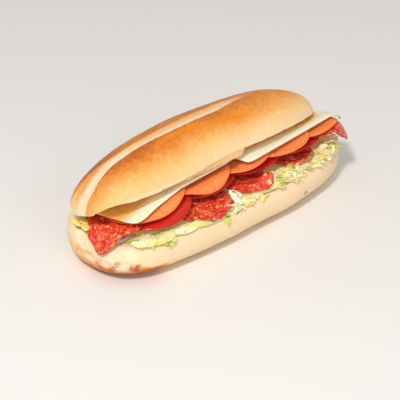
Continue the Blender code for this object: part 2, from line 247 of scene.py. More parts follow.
def roof_height(x, y):
    """Underside of the crown: its cut face, lifted where the filling has pushed the crumb in."""
    thick_lip = 1.0 - smooth((x - LIP_STEP_X) / LIP_STEP_LENGTH)
    thick_lip *= ramp(x - MOUTH_LEFT_X, 0.0, 20.0)
    slope = tan(crown_tilt(x) - LIP_DROP * thick_lip)
    lift = ROOF_LIFT * ramp(y, -6.0, 26.0) * slope / tan(CROWN_TILT)
    return HINGE_Z + (HINGE_Y - y) * slope + lift


def rim_share(point):
    """How far a point lies on the strip of bare crumb along the crown's lip, 0 to 1."""
    height = RIM_HEIGHT * ramp(point.x - RIM_START_X, 0.0, 62.0)
    height *= 1.0 - smooth((point.x - LIP_STEP_X) / LIP_STEP_LENGTH)
    if point.y > -8.0 * MM or height < 0.1 * MM:
        return 0.0
    height += 0.35 * MM * wave(point.x, 0.0, 6.0, 4.0)
    over_roof = point.z - roof_height(point.x, point.y)
    return smooth((height - over_roof) / (0.7 * MM) + 0.5) * smooth(over_roof / (0.5 * MM) + 2.0)


def mouth_back(x):
    """The cut stops short of the back, and turns forward towards the left tip."""
    turned = 1.0 - smooth((x - MOUTH_LEFT_X) / MOUTH_TURN_LENGTH)
    return MOUTH_BACK_Y + (MOUTH_LEFT_BACK_Y - MOUTH_BACK_Y) * turned


def new_mesh_object(name, shape, *finishes):
    """An object from a mesh in edit form, with its faces turned out and shaded smooth."""
    bmesh.ops.recalc_face_normals(shape, faces=shape.faces)
    mesh = bpy.data.meshes.new(name)
    shape.to_mesh(mesh)
    shape.free()
    mesh.shade_smooth()
    for finish in finishes:
        mesh.materials.append(finish)
    made = bpy.data.objects.new(name, mesh)
    bpy.context.scene.collection.objects.link(made)
    return made


def new_ball(columns, rings):
    shape = bmesh.new()
    bmesh.ops.create_uvsphere(shape, u_segments=int(columns * FINE), v_segments=int(rings * FINE),
                              radius=1.0)
    return shape


def shaped_ball(columns, rings, place):
    """A ball with a tip at each end of X, each of its points moved to place(along, around)."""
    shape = new_ball(columns, rings)
    for vert in shape.verts:
        along = max(-1.0, min(1.0, vert.co.z))
        vert.co = place(along, atan2(vert.co.y, vert.co.x))
    return shape


def mouth_shape():
    """The gap between the halves: a slab with the torn lower crumb below and the crown's crumb above."""
    shape = bmesh.new()
    bmesh.ops.create_grid(shape, x_segments=int(190 * FINE), y_segments=int(78 * FINE), size=1.0)
    lid = bmesh.ops.extrude_face_region(shape, geom=shape.faces[:])
    lid_verts = {item for item in lid["geom"] if isinstance(item, bmesh.types.BMVert)}
    for vert in shape.verts:
        x = MOUTH_LEFT_X + (MOUTH_RIGHT_X - MOUTH_LEFT_X) * 0.5 * (vert.co.x + 1.0)
        y = MOUTH_FRONT_Y + (mouth_back(x) - MOUTH_FRONT_Y) * 0.5 * (vert.co.y + 1.0)
        top = vert in lid_verts
        z = roof_height(x, y) if top else floor_height(x, y)
        torn = 0.35 * wave(x, y, 2.0 * top, 7.0) + 0.22 * wave(x, y, 5.0 + top, 2.4)
        if top:
            torn += 1.1 * wave(x, 0.0, 9.0, 9.0) * bell(x, 2.0, 11.0)
            torn += 1.2 * abs(wave(x, y, 11.0, 2.6)) * bell(x, 1.0, 7.0)
        vert.co = Vector((x, y, z + torn * MM))
    return shape


def combined(base, form, operation):
    """Joins or cuts one form by another and keeps the result on the first.

    A result that lost most of the first form is made again by the slower, more careful setting.
    """
    step = base.modifiers.new(form.name, "BOOLEAN")
    step.object = form
    step.operation = operation
    step.solver = "EXACT"
    step.material_mode = "TRANSFER"
    for careful in (False, True):
        step.use_self = careful
        view = bpy.context.evaluated_depsgraph_get()
        result = bpy.data.meshes.new_from_object(base.evaluated_get(view), depsgraph=view)
        if len(result.vertices) > len(base.data.vertices) // 2:
            break
    base.modifiers.remove(step)
    base.data = result
    bpy.data.objects.remove(form)


def colour(red, green, blue):
    """A shader colour from the 0 to 255 numbers of a colour chart."""
    def linear(value):
        value /= 255.0
        return value / 12.92 if value <= 0.04045 else ((value + 0.055) / 1.055) ** 2.4
    return (linear(red), linear(green), linear(blue), 1.0)


def set_inputs(tree, node, inputs):
    """Sets a shader node's inputs, or links them where a socket is given."""
    for key, value in inputs.items():
        if isinstance(value, bpy.types.NodeSocket):
            tree.links.new(value, node.inputs[key])
        else:
            node.inputs[key].default_value = value


def add_node(tree, kind, inputs, **settings):
    node = tree.nodes.new(kind)
    for key, value in settings.items():
        setattr(node, key, value)
    set_inputs(tree, node, inputs)
    return node


def add_channels(tree, attribute):
    """The three numbers kept at each point of a mesh under a name."""
    kept = add_node(tree, "ShaderNodeAttribute", {}, attribute_name=attribute)
    return add_node(tree, "ShaderNodeSeparateColor", {"Color": kept.outputs["Color"]}).outputs


def add_stretch(tree, vector, share):
    """Coordinates that draw a pattern out along X."""
    return add_node(tree, "ShaderNodeMapping", {"Vector": vector, "Scale": (share, 1.0, 1.0)}).outputs[0]


def add_math(tree, operation, first, second=0.0, third=0.0):
    return add_node(tree, "ShaderNodeMath", {0: first, 1: second, 2: third}, operation=operation).outputs[0]


def add_mix(tree, factor, first, second, blend="MIX"):
    """Mixes two colours."""
    node = add_node(tree, "ShaderNodeMix", {0: factor, 6: first, 7: second},
                    data_type="RGBA", blend_type=blend)
    return node.outputs[2]


def add_ramp(tree, factor, *stops):
    """A colour ramp through (position, colour) stops."""
    node = add_node(tree, "ShaderNodeValToRGB", {"Fac": factor})
    elements = node.color_ramp.elements
    while len(elements) < len(stops):
        elements.new(1.0)
    for element, (position, shade) in zip(elements, stops):
        element.position = position
        element.color = shade
    return node.outputs["Color"]


def grain_group():
    """Blotches and speckle in one: lumps of the size given, in millimetres, from 0 to 1."""
    group = bpy.data.node_groups.new("grain", "ShaderNodeTree")
    group.interface.new_socket("Vector", in_out="INPUT", socket_type="NodeSocketVector")
    for name in ("Size mm", "Detail", "Contrast"):
        group.interface.new_socket(name, in_out="INPUT", socket_type="NodeSocketFloat")
    group.interface.new_socket("Mask", in_out="OUTPUT", socket_type="NodeSocketFloat")
    given = group.nodes.new("NodeGroupInput").outputs
    scale = add_math(group, "DIVIDE", 1000.0, given["Size mm"])
    lumps = add_node(group, "ShaderNodeTexNoise", {"Vector": given["Vector"], "Scale": scale,
                                                   "Detail": given["Detail"], "Roughness": 0.55})
    centred = add_math(group, "SUBTRACT", lumps.outputs["Fac"], 0.5)
    strong = add_math(group, "MULTIPLY", centred, given["Contrast"])
    add_node(group, "NodeGroupOutput", {"Mask": add_math(group, "ADD", strong, 0.5)})
    return group


grain = grain_group()


def add_grain(tree, vector, size, detail, contrast):
    inputs = {"Vector": vector, "Size mm": size, "Detail": detail, "Contrast": contrast}
    return add_node(tree, "ShaderNodeGroup", inputs, node_tree=grain).outputs["Mask"]


def start_material(name, roughness):
    """A material with its shader, and the object coordinates its patterns read."""
    made = bpy.data.materials.new(name)
    made.use_nodes = True
    tree = made.node_tree
    shader = tree.nodes["Principled BSDF"]
    shader.inputs["Roughness"].default_value = roughness
    where = tree.nodes.new("ShaderNodeTexCoord").outputs["Object"]
    return made, tree, shader, where


def add_bump(tree, shader, height, distance):
    """Relief of the depth given, in millimetres."""
    bump = add_node(tree, "ShaderNodeBump", {"Height": height, "Distance": distance * MM, "Strength": 1.0})
    tree.links.new(bump.outputs["Normal"], shader.inputs["Normal"])


def crust_material():
    """Crust: cream where pale, through gold to brown, with mottling, and a glaze streak on the crown."""
    made, tree, shader, where = start_material("roll_crust_baked", 0.55)
    # on the crumb strip along the crown's lip these channels hold painted shade, set where the bread is
    # made
    baked, torn, glazed = add_channels(tree, "baking")
    clouds = add_grain(tree, where, 14.0, 3.0, 0.40)
    spots = add_grain(tree, where, 2.6, 3.0, 0.50)
    speckle = add_grain(tree, where, 0.9, 2.0, 0.30)
    uneven = add_math(tree, "ADD", add_math(tree, "ADD", clouds, spots), speckle)
    uneven = add_math(tree, "SUBTRACT", uneven, 1.5)
    strength = add_math(tree, "MULTIPLY_ADD", baked, 0.95, 0.16)
    level = add_math(tree, "MULTIPLY_ADD", uneven, strength, baked)
    shade = add_ramp(tree, level,
                     (0.00, colour(247, 226, 194)), (0.18, colour(247, 214, 168)),
                     (0.36, colour(246, 196, 126)), (0.55, colour(241, 166, 84)),
                     (0.74, colour(225, 132, 42)), (1.00, colour(182, 84, 16)))
    patches = add_grain(tree, where, 3.0, 4.0, 1.4)
    pale = add_mix(tree, patches, colour(244, 214, 168), colour(250, 234, 206))
    tears = add_grain(tree, add_stretch(tree, where, 0.22), 1.6, 4.0, 3.4)
    tears = add_math(tree, "MULTIPLY", add_math(tree, "GREATER_THAN", tears, 0.98), 0.55)
    pale = add_mix(tree, tears, pale, colour(206, 160, 108))
    shade = add_mix(tree, torn, shade, pale)
    streak = add_math(tree, "MULTIPLY", glazed, add_grain(tree, where, 6.0, 3.0, 1.0))
    streak = add_math(tree, "MINIMUM", add_math(tree, "MULTIPLY", streak, 1.9), 1.0)
    shade = add_mix(tree, streak, shade, colour(240, 138, 6))
    rough = add_math(tree, "MULTIPLY_ADD", baked, -0.16, 0.66)
    rough = add_math(tree, "MULTIPLY_ADD", glazed, -0.30, rough)
    set_inputs(tree, shader, {"Base Color": shade, "Roughness": rough, "Specular IOR Level": 0.3})
    relief = add_grain(tree, where, 1.6, 4.0, 1.0)
    relief = add_math(tree, "ADD", relief, add_grain(tree, where, 0.6, 2.0, 0.5))
    add_bump(tree, shader, relief, 0.16)
    return made


def crumb_material():
    """Cut crumb: cream, open-textured, full of small pores."""
    made, tree, shader, where = start_material("roll_crumb", 0.85)
    cells = add_node(tree, "ShaderNodeTexVoronoi", {"Vector": where, "Scale": 520.0, "Randomness": 1.0})
    pores = add_math(tree, "MULTIPLY", cells.outputs["Distance"], 1.6)
    shade = add_ramp(tree, pores, (0.0, colour(232, 200, 150)), (0.35, colour(248, 230, 196)),
                     (1.0, colour(252, 241, 218)))
    tint = add_grain(tree, where, 8.0, 3.0, 1.0)
    shade = add_mix(tree, add_math(tree, "MULTIPLY", tint, 0.35), shade, colour(240, 205, 150))
    tree.links.new(shade, shader.inputs["Base Color"])
    add_bump(tree, shader, add_math(tree, "ADD", pores, add_grain(tree, where, 1.5, 4.0, 1.0)), 0.35)
    return made


def browning(point):
    """How far a place on the crust is baked, how far torn pale, and how far glazed, each 0 to 1."""
    x = point.x
    forward, rise = crown_place(point)
    on_crown = ramp(rise, -3.0, 6.0) if point.y > 10.0 * MM else smooth(rise / (2.0 * MM) + 1.0)
    # lower half: pale sides, browned towards the tray
    tray = 1.0 - ramp(point.z, 0.0, 4.0)
    ragged = 1.1 * MM * wave(x, point.y, 0.0, 6.0)
    corner = smooth((-63.0 * MM - x + 2.0 * ragged) / (9.0 * MM))
    corner_top = 8.0 * MM + 5.5 * MM * ramp(-x, 76.0, 14.0)
    corner *= 1.0 - ramp(point.z - corner_top + ragged, 0.0, 2.5)
    lower = 0.12 + 0.50 * tray + 0.84 * corner * smooth(0.5 - point.y / (60.0 * MM))
    # crown: pale at the cut edge, brown beside the slash
    height = clamp01(rise / CROWN_RISE)
    behind = slash_edge(x) - forward
    width = slash_width(x)
    front = 0.20 + 0.13 * ramp(-x, 10.0, 60.0) + 0.40 * smooth((height - 0.05) / 0.75)
    near_slash = bell(behind, 0.0, 9.0) * (1.0 - ramp(x, 20.0, 60.0))
    front += 0.22 * near_slash
    front -= 0.16 * ramp(x, 55.0, 30.0)
    open_share = slash_open(x)
    back = 0.78 - 0.45 * smooth((0.60 - height) / 0.60)
    back += 0.22 * ramp(-x, 55.0, 30.0) * smooth(height / 0.2)
    back -= 0.34 * exp(-((behind - width) / (0.35 * width)) ** 2) * open_share
    blend = 3.0 * MM + 24.0 * MM * ramp(x, 10.0, 40.0)
    crown = front + (back - front) * smooth(behind / blend - 0.5 * (3.0 * MM / blend))
    pale_width = 2.2 * MM + 5.3 * MM * ramp(-x, 45.0, 42.0)
    torn = ramp(behind, 0.0, 1.0) * (1.0 - ramp(behind - pale_width, 0.0, 5.0)) * open_share
    streak_line = 53.0 * MM + 7.0 * MM * ramp(x, -45.0, 66.0)
    streak = bell(forward - streak_line, 0.0, 2.2)
    streak *= ramp(x, -56.0, 20.0) * (1.0 - ramp(x, 12.0, 14.0))
    level = lower + (crown - lower) * on_crown
    return level, torn * on_crown, streak * on_crown


def scuffed(point):
    """The left end lost its skin in patches where it touched the next roll in the oven."""
    patch = ramp(-point.x, 80.0, 7.0) * ramp(point.z, 6.0, 5.0)
    patch *= 1.0 - ramp(point.z, 22.0, 3.0)
    ragged = wave(point.x, point.y, point.z, 5.0) + 0.5 * wave(point.x, point.y, point.z, 2.0)
    return patch * smooth(0.75 + 1.2 * ragged)


def make_bread():
    crust, crumb = crust_material(), crumb_material()
    bread = new_mesh_object("bread", shaped_ball(150, 120, lower_half_point), crust)
    crown = new_mesh_object("crown_form", shaped_ball(230, 180, crown_point), crust)
    combined(bread, crown, "UNION")
    shape = bmesh.new()
    shape.from_mesh(bread.data)
    bmesh.ops.remove_doubles(shape, verts=shape.verts, dist=0.02 * MM)
    hinge = [vert for vert in shape.verts
             if vert.co.y > 12.0 * MM and abs(vert.co.z - 27.0 * MM) < 8.0 * MM]
    for _ in range(int(HINGE_SMOOTHING_ROUNDS * FINE)):
        bmesh.ops.smooth_vert(shape, verts=hinge, factor=0.5,
                              use_axis_x=True, use_axis_y=True, use_axis_z=True)
    shape.normal_update()
    for vert in shape.verts:
        x, y, z = vert.co
        lump = 0.55 * wave(x, y, z, 26.0) + 0.16 * wave(x, y, z, 9.0) + 0.05 * wave(x, y, z, 3.0)
        vert.co += vert.normal * (lump * MM * ramp(z, 0.0, 6.0))
        vert.co.y += RIM_SETBACK * rim_share(vert.co)
    shape.to_mesh(bread.data)
    shape.free()
    combined(bread, new_mesh_object("mouth_form", mouth_shape(), crumb), "DIFFERENCE")
    mesh = bread.data
    mesh.shade_smooth()
    mesh.set_sharp_from_angle(angle=CRUST_SHARP_ANGLE)
    baking = mesh.color_attributes.new("baking", "FLOAT_COLOR", "POINT")
    for vert in mesh.vertices:
        baked, torn, glazed = browning(vert.co)
        # painted shade: the bare crumb strip along the crown's lip takes a darker golden-tan baked level
        # instead of pale crumb, standing for the shade under the crust's overhang warmed by light thrown
        # back from the filling
        rim = rim_share(vert.co)
        torn = max(torn, 0.3 * rim, scuffed(vert.co))
        baked += (0.48 - baked) * rim
        baking.data[vert.index].color = (baked, torn, glazed, 1.0)
    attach(bread, "root")
    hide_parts("roll")
    return bread


bread = make_bread()

# ------------------------ the lettuce
# A bed of shredded iceberg lettuce: a packed core under loose curled shreds, white at the rib and
# yellow-green at the leaf.  It is scattered along the open lip, and some of it hangs over the side.

GAP = 0.5 * MM
ROOF_GAP = 1.4 * MM
LETTUCE_THICKNESS = 3.7 * MM
LETTUCE_BUMP = 0.5 * MM
SHRED_THICKNESS = 0.35 * MM
SHRED_SHARP_ANGLE = radians(45.0)
LIP_OVERHANG = 1.0 * MM
LIP_END_X = 97.0 * MM
SALAMI_THICKNESS = 1.3 * MM
TOMATO_THICKNESS = 3.0 * MM
TOMATO_RADIUS = 25.0 * MM
TOMATO_SLOPE = 0.098
SAUSAGE_THICKNESS = 1.4 * MM
SAUSAGE_RADIUS = 25.5 * MM
SAUSAGE_SLOPE = 0.063
CHEESE_THICKNESS = 1.9 * MM
CHEESE_HALF_WIDTH = 23.5 * MM

LEFT_SINK = 0.42
LEFT_SINK_START = -45.0 * MM
LEFT_SINK_LENGTH = 40.0 * MM
FRONT_SAG = 0.50
FRONT_SAG_START = -26.0 * MM
FRONT_SAG_LENGTH = 14.0 * MM
FRONT_SAG_END_X = 20.0 * MM
RIGHT_SAG = 7.0 * MM
RIGHT_SAG_START = 81.0 * MM
RIGHT_SAG_LENGTH = 19.0 * MM
DRAPE_SLOPE = 1.6
BACK_CROWDING = 2.5 * MM

SALAMI_LEVEL = LETTUCE_THICKNESS + LETTUCE_BUMP + GAP + 0.5 * SALAMI_THICKNESS
TOMATO_LEVEL = (SALAMI_LEVEL + GAP + TOMATO_SLOPE * TOMATO_RADIUS
                + 0.5 * (SALAMI_THICKNESS + TOMATO_THICKNESS))
SAUSAGE_LEVEL = (TOMATO_LEVEL + GAP + TOMATO_SLOPE * TOMATO_RADIUS + SAUSAGE_SLOPE * SAUSAGE_RADIUS
                 + 0.5 * (TOMATO_THICKNESS + SAUSAGE_THICKNESS))
CHEESE_LEVEL = (SAUSAGE_LEVEL + 1.8 * GAP + SAUSAGE_SLOPE * SAUSAGE_RADIUS
                + 0.5 * (SAUSAGE_THICKNESS + CHEESE_THICKNESS))
STACK_TOP = CHEESE_LEVEL + 0.5 * CHEESE_THICKNESS


def stack_squeeze(x, y):
    """Share of the loose stack's height left at a place: less under the crown and at the front."""
    room = max(0.05, (roof_height(x, y) - ROOF_GAP - floor_height(x, y)) / STACK_TOP)
    loose = 1.0 - LEFT_SINK * smooth((LEFT_SINK_START - x) / LEFT_SINK_LENGTH)
    squeezed = (room ** -12.0 + loose ** -12.0) ** (-1.0 / 12.0)
    sag = FRONT_SAG * smooth(0.5 - x / (2.0 * FRONT_SAG_END_X))
    return squeezed * (1.0 - sag * smooth((FRONT_SAG_START - y) / FRONT_SAG_LENGTH))


def settle(x, y, level):
    """A point of the stack, kept off the mouth's back, laid on the crumb and draped over its lip."""
    back = mouth_back(x) - GAP
    y = back - BACK_CROWDING * log(1.0 + exp((back - y) / BACK_CROWDING))
    drop = DRAPE_SLOPE * max(0.0, past_lip(x, y) - GAP)
    above_bed = ramp(level - SALAMI_LEVEL, 0.0, 3.0)
    drop += RIGHT_SAG * above_bed * smooth((x - RIGHT_SAG_START) / RIGHT_SAG_LENGTH)
    return Vector((x, y, floor_height(x, y) + GAP + level * stack_squeeze(x, y) - drop))


def laid_slice(outline, level, thickness, slope=0.0, bump=None, columns=110, rings=40, edge=16):
    """A thin slice lying in the stack, with how far each point is from its middle kept for its finish.

    outline(share, around) gives a point of its plan, from the middle at share 0 to the rim at 1, and
    how far along X that point is from the middle.  The slice climbs by slope along X.
    """
    shape = new_ball(columns, rings)
    cut = shape.verts.layers.float_color.new("cut")
    for vert in shape.verts:
        share = min(1.0, hypot(vert.co.x, vert.co.y))
        around = atan2(vert.co.y, vert.co.x)
        x, y, offset = outline(share, around)
        half = 0.5 * thickness * (1.0 - share ** edge) ** 0.5
        if abs(vert.co.z) < 1.0e-6:
            half = 0.0
        top = vert.co.z > 0.0
        vert[cut] = (share, 0.5 + around / (2.0 * pi), 1.0 if top else 0.0, 1.0)
        height = level + slope * offset + (half if top else -half)
        if bump is not None:
            height += bump(x, y, vert.co.z)
        vert.co = settle(x, y, height)
    return shape


def bed_outline(share, around):
    """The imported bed, inside the loose shreds along the lip."""
    along = signed_power(cos(around), 2.0 / ROLL_BLUNTNESS)
    x = 2.0 * MM + 82.0 * MM * share * along
    depth = 19.0 * MM if sin(around) > 0.0 else 36.5 * MM
    across = share * signed_power(sin(around), 2.0 / ROLL_BLUNTNESS)
    return x, depth * across, x


def bed_bump(x, y, side):
    if side <= 0.0:
        return 0.0
    return (0.4 * wave(x, y, 0.0, 9.0) + 0.35 * wave(x, y, 3.0, 2.5)) * MM - 0.3 * MM


def leaf_material():
    """Lettuce: each shred has its own tint, from white rib to yellow-green leaf, and fine veins."""
    made, tree, shader, where = start_material("lettuce_shred", 0.38)
    tint = add_node(tree, "ShaderNodeAttribute", {}, attribute_name="leaf").outputs["Color"]
    veins = add_grain(tree, add_stretch(tree, where, 0.35), 1.3, 3.0, 1.5)
    deeper = add_mix(tree, 1.0, tint, colour(238, 232, 190), blend="MULTIPLY")
    shade = add_mix(tree, add_math(tree, "MULTIPLY", veins, 0.7), tint, deeper)
    # the emission stands for the light that comes through the thin leaf
    set_inputs(tree, shader, {"Base Color": shade, "Emission Color": shade, "Emission Strength": 0.10})
    add_bump(tree, shader, veins, 0.18)
    return made


LEAF_TINTS = (colour(252, 247, 232), colour(248, 240, 208), colour(242, 230, 166), colour(226, 226, 146),
              colour(205, 212, 112), colour(246, 234, 160))


def add_shred(shape, leaf, path, width, tint, twist, cup, steps=12, roll=0.0):
    """A thin strip of leaf along path(u), u from 0 to 1, turned about its length by roll and twist."""
    made = bmesh.ops.create_grid(shape, x_segments=steps, y_segments=1, size=1.0)
    faces = list({face for vert in made["verts"] for face in vert.link_faces})
    lid = bmesh.ops.extrude_face_region(shape, geom=faces)
    lid_verts = {item for item in lid["geom"] if isinstance(item, bmesh.types.BMVert)}
    for vert in list(made["verts"]) + list(lid_verts):
        u = 0.5 * (vert.co.x + 1.0)
        side = vert.co.y
        here = path(u)
        ahead = (path(min(1.0, u + 0.04)) - path(max(0.0, u - 0.04))).normalized()
        across = ahead.cross(Vector((0.0, 0.0, 1.0)))
        if across.length < 0.2:
            across = ahead.cross(Vector((0.0, 1.0, 0.3)))
        across.normalize()
        up = across.cross(ahead)
        angle = roll + twist * (u - 0.3)
        lean = across * cos(angle) + up * sin(angle)
        face_up = up * cos(angle) - across * sin(angle)
        narrow = min(1.0, 0.35 + 3.2 * min(u, 1.0 - u))
        share = 1.0 if vert in lid_verts else 0.0
        sideways = lean * (0.5 * width * narrow * side)
        vert.co = here + sideways + face_up * (SHRED_THICKNESS * share + cup * side * side)
        vert[leaf] = tint


def side_y(x, z):
    """Where the front of the lower half stands at a height."""
    off = abs(z - ROLL_WIDEST_HEIGHT) / ROLL_TOP_RISE
    reach = max(0.0, 1.0 - off ** ROLL_SECTION_POWER) ** (1.0 / ROLL_SECTION_POWER)
    return -ROLL_HALF_WIDTH * taper(x, ROLL_HALF_LENGTH, plan_bluntness(x, -1.0)) * reach


def lip_y(x):
    return -LIP_HALF_WIDTH * taper(x, ROLL_HALF_LENGTH, plan_bluntness(x, -1.0))


def lying_path(x, y, heading, length, bend, level, curl, phase):
    """Along the bed, following its top, over the lip where it crosses it."""
    def path(u):
        turned = heading + bend * (u - 0.5)
        px = x + length * (u - 0.5) * cos(turned)
        py = max(y + length * (u - 0.5) * sin(turned), lip_y(px) - LIP_OVERHANG)
        base = settle(px, py, level)
        return base + Vector((0.0, 0.0, curl * sin(2.0 * pi * (u + phase))))
    return path


def curled_path(centre, radius, start, sweep, tilt, turn):
    """A loose curl: part of a circle standing at a tilt."""
    def path(u):
        angle = start + sweep * u
        flat = Vector((radius * cos(angle),
                       radius * sin(angle) * cos(tilt),
                       radius * sin(angle) * sin(tilt)))
        return centre + Vector((flat.x * cos(turn) - flat.y * sin(turn),
                                flat.x * sin(turn) + flat.y * cos(turn),
                                flat.z))
    return path


def hanging_path(x, top_z, bottom_z, drift, inward):
    """Over the lip and down the side of the roll."""
    def path(u):
        z = top_z + (bottom_z - top_z) * u
        px = x + drift * u
        tuck = inward * (1.0 - smooth(u / 0.45))
        return Vector((px, side_y(px, min(z, 21.0 * MM)) - 0.5 * MM + tuck, z))
    return path


def draw_shred(shape, leaf, pick, path, width, tints, twist, cup):
    """A shred along a path, its width, tint, twist and cup drawn by lot; lengths in millimetres."""
    add_shred(shape, leaf, path, pick.uniform(*width) * MM, pick.choice(tints),
              pick.uniform(-twist, twist), pick.uniform(0.0, cup) * MM)


def lay_shred(shape, leaf, pick, place, heading, lie, finish):
    """A lying shred drawn by lot: lie is its length, bend, level and curl, finish is for draw_shred."""
    length, bend, level, curl = lie
    path = lying_path(*place, heading, pick.uniform(*length) * MM, pick.uniform(-bend, bend),
                      pick.uniform(*level) * MM, pick.uniform(0.0, curl) * MM, pick.random())
    draw_shred(shape, leaf, pick, path, *finish)


def scatter_shreds(shape, leaf):
    pick = random.Random(11)
    # strewn along the front lip, thinly on the left
    for number in range(120):
        x = pick.uniform(-76.0, -24.0) * MM if number % 8 == 0 else pick.uniform(-24.0, 84.0) * MM
        y = lip_y(x) + pick.uniform(1.5, 9.0) * MM
        lay_shred(shape, leaf, pick, (x, y), pick.gauss(0.0, 0.45), ((8.0, 19.0), 0.9, (0.2, 3.4), 0.5),
                  ((1.6, 3.6), LEAF_TINTS[:4], 1.0, 0.5))
    # mounds of curls where nothing lies on top
    mounds = ((-13.0, 12, 4.0, 3.0), (3.0, 7, 8.0, 1.0), (20.0, 16, 5.0, 3.6),
              (32.0, 28, 7.0, 5.0), (41.0, 10, 4.0, 3.0), (64.0, 16, 5.0, 4.0), (74.0, 18, 6.0, 4.0),
              (82.0, 8, 4.0, 2.0))
    for middle, count, spread, height in mounds:
        for _ in range(count):
            x = (middle + pick.uniform(-spread, spread)) * MM
            y = lip_y(x) + pick.uniform(2.5, 8.5) * MM
            z = CUT_HEIGHT + (1.0 + height * pick.random() ** 0.8) * MM
            radius = pick.uniform(2.0, 4.2) * MM
            path = curled_path(Vector((x, y, z)), radius, pick.uniform(0.0, 2.0 * pi),
                               pick.uniform(1.6, 3.6), pick.uniform(-0.9, 0.9), pick.uniform(-0.6, 0.6))
            draw_shred(shape, leaf, pick, path, (1.6, 3.4), LEAF_TINTS[:3] + LEAF_TINTS, 1.5, 0.4)
    # further in, between the slices that lie on the bed
    inner = random.Random(5)
    for _ in range(110):
        x = inner.uniform(-84.0, 82.0) * MM
        y = lip_y(x) + inner.uniform(7.0, 17.0) * MM
        lay_shred(shape, leaf, inner, (x, y), inner.gauss(0.0, 0.5), ((9.0, 20.0), 0.8, (0.1, 1.1), 0.3),
                  ((1.8, 3.6), LEAF_TINTS[:5], 0.5, 0.3))
    # round the right-hand end, under the last slices
    for _ in range(26):
        y = pick.uniform(-24.0, 16.0) * MM
        x = LIP_END_X * taper(y, LIP_HALF_WIDTH, ROLL_BLUNTNESS) - pick.uniform(9.0, 16.0) * MM
        lay_shred(shape, leaf, pick, (x, y), pick.uniform(0.6, 2.4), ((8.0, 18.0), 0.9, (0.3, 3.4), 0.7),
                  ((1.5, 3.0), LEAF_TINTS, 1.2, 0.4))
    for _ in range(22):
        y = inner.uniform(-31.0, -12.0) * MM
        x = LIP_END_X * taper(y, LIP_HALF_WIDTH, ROLL_BLUNTNESS) - inner.uniform(5.0, 20.0) * MM
        lay_shred(shape, leaf, inner, (x, y), inner.uniform(0.3, 2.0), ((8.0, 16.0), 0.9, (0.2, 2.0), 0.5),
                  ((1.8, 3.4), LEAF_TINTS[:4], 0.8, 0.3))
    # strips that hang over the lip
    hanging = ((-69.0, 24.0, 19.0, 3.0, 4.0, 5.0, 3), (-62.0, 24.0, 19.5, -3.0, 4.0, 4.0, 4),
               (-26.5, 25.0, 12.5, 3.0, 4.0, 3.0, 3), (-22.0, 25.5, 17.5, -1.5, 5.0, 2.4, 4),
               (-16.8, 34.0, 19.0, 1.2, 6.0, 2.8, 0), (-13.0, 30.0, 20.0, -1.5, 6.0, 2.2, 0),
               (-5.0, 24.0, 19.5, 2.5, 3.0, 2.6, 5), (6.0, 24.0, 20.5, -2.0, 3.0, 2.4, 5),
               (33.0, 25.0, 20.0, 3.0, 3.0, 2.4, 1))
    for x, top, bottom, drift, inward, width, tint in hanging:
        path = hanging_path(x * MM, top * MM, bottom * MM, drift * MM, inward * MM)
        add_shred(shape, leaf, path, width * MM, LEAF_TINTS[tint], 0.5, 0.3 * MM)
    # broad pieces of leaf that lean over the lip
    broad = ((-82.0, 2.2, 9.0, -0.8, 3.2, 1, -0.5), (-78.0, 1.6, 11.0, -0.6, 3.6, 2, -0.5),
             (-73.0, 1.2, 12.0, -0.5, 3.6, 3, -0.6), (-66.0, 1.4, 13.0, 0.1, 4.2, 2, -0.5),
             (-50.0, 1.8, 20.0, 0.05, 4.0, 1, -0.5), (-37.0, 1.4, 25.0, -0.03, 4.6, 3, -0.55),
             (-30.0, 2.4, 18.0, 0.1, 4.4, 1, -0.4), (-57.0, 3.0, 16.0, -0.12, 4.2, 3, -0.3),
             (-2.0, 2.0, 16.0, 0.1, 4.0, 1, -0.4), (14.0, 2.2, 14.0, -0.1, 3.6, 5, -0.5),
             (30.0, 2.4, 13.0, 0.1, 4.0, 0, -0.4), (60.0, 2.4, 14.0, 0.2, 3.6, 2, -0.4))
    for x, inward, length, heading, width, tint, roll in broad:
        path = lying_path(x * MM, lip_y(x * MM) + inward * MM, heading, length * MM,
                          0.35, 3.0 * MM, 0.5 * MM, 0.2)
        add_shred(shape, leaf, path, width * MM, LEAF_TINTS[tint], 0.3, 0.25 * MM, 20, roll)


lettuce_leaf = leaf_material()
bed_shape = laid_slice(bed_outline, 0.5 * LETTUCE_THICKNESS, LETTUCE_THICKNESS - 0.4 * MM, bump=bed_bump,
                       columns=150, rings=40)
bed_leaf = bed_shape.verts.layers.float_color.new("leaf")
for vert in bed_shape.verts:
    vert[bed_leaf] = LEAF_TINTS[2]
lettuce_bed = new_mesh_object("lettuce_bed", bed_shape, lettuce_leaf)
shred_shape = bmesh.new()
scatter_shreds(shred_shape, shred_shape.verts.layers.float_color.new("leaf"))
lettuce_shreds = new_mesh_object("lettuce_shreds", shred_shape, lettuce_leaf)
lettuce_shreds.data.set_sharp_from_angle(angle=SHRED_SHARP_ANGLE)
for piece in (lettuce_bed, lettuce_shreds):
    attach(piece, "root")
    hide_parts("lettuce")

# ------------------------ salami on the lettuce
# Thin slices of coarse salami, red meat with flecks of fat, cut from a sausage about 50 mm across.
# Three slices lie on the lettuce, and their free front edges curl.


def add_fade(tree, value, start, end):
    """0 where the value is at the start, 1 where it is at the end."""
    return add_node(tree, "ShaderNodeMapRange",
                    {"Value": value, "From Min": start, "From Max": end}).outputs[0]


def add_cells(tree, vector, scale):
    """Random cells: how far from a cell's middle, and three numbers that differ from cell to cell."""
    cells = add_node(tree, "ShaderNodeTexVoronoi", {"Vector": vector, "Scale": scale}).outputs
    numbers = add_node(tree, "ShaderNodeSeparateColor", {"Color": cells["Color"]}).outputs
    return cells["Distance"], numbers


